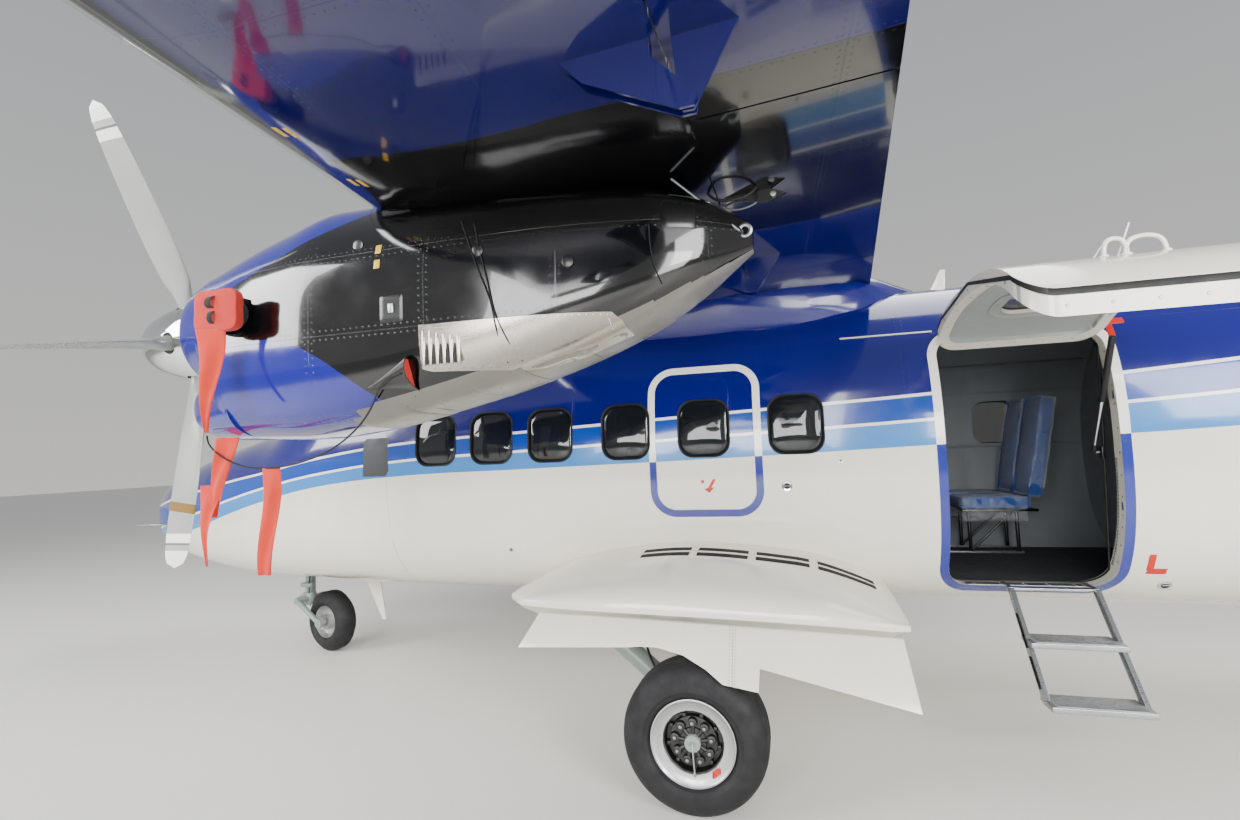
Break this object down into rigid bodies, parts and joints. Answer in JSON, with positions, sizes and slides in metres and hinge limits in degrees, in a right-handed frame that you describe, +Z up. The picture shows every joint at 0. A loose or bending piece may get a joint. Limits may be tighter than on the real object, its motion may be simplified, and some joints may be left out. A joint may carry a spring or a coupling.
{
  "type": "turboprop airliner",
  "caption": "Twin-engined high-wing turboprop airliner parked on its gear, with turning wheels and propellers, hinged entry door, steering and flight controls.",
  "frame": {"origin": "centre of the bounding box on the ground, z = 0 where the tyres stand", "axes": "+X aft, with the nose at -X; +Y to starboard along the span; +Z up"},
  "size_m": [14.42, 19.98, 5.83],
  "materials": {
    "bare_aluminium": "satin",
    "black_skin": "gloss",
    "blade_metal": "satin",
    "engine_steel": "satin",
    "fabric_covered_surface": "gloss",
    "floor_grey": "matte",
    "gear_steel": "satin",
    "glass": "gloss",
    "lining_grey": "matte",
    "navy_skin": "gloss",
    "red_cover": "matte",
    "rim_alloy": "satin",
    "seat_fabric": "matte",
    "spinner_chrome": "polished",
    "strut_black": "satin",
    "tyre": "matte",
    "white_skin": "gloss"
  },
  "bodies": {
    "airframe": {"port_wing": "navy_skin", "starboard_wing": "navy_skin", "port_tip_tank": "white_skin", "starboard_tip_tank": "white_skin", "cabin_shell": "white_skin", "port_emergency_exit": "white_skin", "starboard_emergency_exit": "white_skin", "port_window_panes": "glass", "starboard_window_panes": "glass", "nose_cone": "white_skin", "cockpit_shell": "white_skin", "cockpit_glazing": "glass", "rear_fuselage": "white_skin", "cabin_floor": "floor_grey", "cockpit_bulkhead": "lining_grey", "rear_bulkhead": "lining_grey", "cockpit_deck": "floor_grey", "cabin_seats": "seat_fabric", "pilot_seats": "seat_fabric", "boarding_steps": "bare_aluminium", "wing_fairing": "navy_skin", "tailplane": "white_skin", "fin": "navy_skin", "port_nacelle": "black_skin", "starboard_nacelle": "black_skin", "port_engine": "engine_steel", "starboard_engine": "engine_steel", "port_exhaust_cover": "red_cover", "starboard_exhaust_cover": "red_cover", "port_sponson": "white_skin", "starboard_sponson": "white_skin", "port_gear_panel": "white_skin", "starboard_gear_panel": "white_skin", "port_main_leg": "gear_steel", "starboard_main_leg": "gear_steel", "nose_leg": "gear_steel", "belly_aerial": "white_skin", "roof_aerial": "white_skin"},
    "port_main_wheel": {"port_main_tyre": "tyre", "port_main_rim": "rim_alloy"},
    "starboard_main_wheel": {"starboard_main_tyre": "tyre", "starboard_main_rim": "rim_alloy"},
    "nose_fork": {"nose_fork": "gear_steel"},
    "nose_wheel": {"nose_tyre": "tyre", "nose_rim": "rim_alloy"},
    "port_propeller": {"port_propeller_blades": "blade_metal", "port_spinner": "spinner_chrome"},
    "starboard_propeller": {"starboard_propeller_blades": "blade_metal", "starboard_spinner": "spinner_chrome"},
    "entry_door": {"entry_door": "white_skin", "door_window": "glass"},
    "door_strut_tube": {"door_strut_tube": "strut_black"},
    "door_strut_rod": {"door_strut_rod": "gear_steel"},
    "rudder": {"rudder": "fabric_covered_surface"},
    "port_elevator": {"port_elevator": "fabric_covered_surface"},
    "starboard_elevator": {"starboard_elevator": "fabric_covered_surface"},
    "port_aileron": {"port_aileron": "fabric_covered_surface"},
    "starboard_aileron": {"starboard_aileron": "fabric_covered_surface"},
    "port_flap": {"port_flap": "navy_skin"},
    "starboard_flap": {"starboard_flap": "navy_skin"}
  },
  "joints": [
    {"name": "port_wheel_spin", "type": "hinge", "parent": "airframe", "child": "port_main_wheel", "pos_m": [-1.46, -1.825, 0.35], "axis": [0, 1, 0], "continuous": true},
    {"name": "starboard_wheel_spin", "type": "hinge", "parent": "airframe", "child": "starboard_main_wheel", "pos_m": [-1.46, 1.825, 0.35], "axis": [0, 1, 0], "continuous": true},
    {"name": "nose_steering", "type": "hinge", "parent": "airframe", "child": "nose_fork", "pos_m": [-5.4462, 0, 0.5], "axis": [0, 0, 1], "range_deg": [-36, 64]},
    {"name": "nose_wheel_spin", "type": "hinge", "parent": "nose_fork", "child": "nose_wheel", "pos_m": [-5.126, -0.07983, 0.268], "axis": [0.2419, 0.9703, 0], "continuous": true},
    {"name": "port_propeller_spin", "type": "hinge", "parent": "airframe", "child": "port_propeller", "pos_m": [-3.87, -2.41, 2.38], "axis": [1, 0, 0], "continuous": true},
    {"name": "starboard_propeller_spin", "type": "hinge", "parent": "airframe", "child": "starboard_propeller", "pos_m": [-3.87, 2.41, 2.38], "axis": [1, 0, 0], "continuous": true},
    {"name": "entry_door_swing", "type": "hinge", "parent": "airframe", "child": "entry_door", "pos_m": [0.3175, -0.908, 2.308], "axis": [1, 0, 0], "range_deg": [0, 92]},
    {"name": "door_strut_turn", "type": "hinge", "parent": "entry_door", "child": "door_strut_tube", "pos_m": [0.69, -1.158, 2.238], "axis": [1, 0, 0], "range_deg": [-120.8, 0]},
    {"name": "door_strut_slide", "type": "slide", "parent": "door_strut_tube", "child": "door_strut_rod", "axis": [0, 0.4632, -0.8863], "range_m": [-0.2587, 0]},
    {"name": "rudder_swing", "type": "hinge", "parent": "airframe", "child": "rudder", "pos_m": [5.79495, 0, 2.76], "axis": [0.2418, 0, 0.9703], "range_deg": [-20, 20]},
    {"name": "port_elevator_swing", "type": "hinge", "parent": "airframe", "child": "port_elevator", "pos_m": [5.60956, -3.3, 3.52519], "axis": [0.0051, 0.9925, -0.1219], "range_deg": [-30, 14]},
    {"name": "starboard_elevator_swing", "type": "hinge", "parent": "airframe", "child": "starboard_elevator", "pos_m": [5.62563, 0.15, 3.13842], "axis": [-0.0051, 0.9925, 0.1219], "range_deg": [-30, 14]},
    {"name": "port_aileron_swing", "type": "hinge", "parent": "airframe", "child": "port_aileron", "pos_m": [-1.367, -9.26, 3.10126], "axis": [0.0429, 0.9986, -0.0297], "range_deg": [-20, 20]},
    {"name": "starboard_aileron_swing", "type": "hinge", "parent": "airframe", "child": "starboard_aileron", "pos_m": [-1.23779, 6.25, 3.01175], "axis": [-0.0429, 0.9986, 0.0297], "range_deg": [-20, 20]},
    {"name": "port_flap_swing", "type": "hinge", "parent": "airframe", "child": "port_flap", "pos_m": [-1.085, -1.15, 2.575], "axis": [0.03, 0.9991, -0.0305], "range_deg": [0, 42]},
    {"name": "starboard_flap_swing", "type": "hinge", "parent": "airframe", "child": "starboard_flap", "pos_m": [-1.085, 1.15, 2.575], "axis": [-0.03, 0.9991, 0.0305], "range_deg": [0, 42]}
  ],
  "couplings": [
    {"joint": "door_strut_turn", "follows": "entry_door_swing", "ratio": -1.308},
    {"joint": "door_strut_slide", "follows": "entry_door_swing", "m_per_rad": -0.15986},
    {"joint": "starboard_elevator_swing", "follows": "port_elevator_swing", "ratio": 1},
    {"joint": "starboard_aileron_swing", "follows": "port_aileron_swing", "ratio": -1},
    {"joint": "starboard_flap_swing", "follows": "port_flap_swing", "ratio": 1}
  ]
}
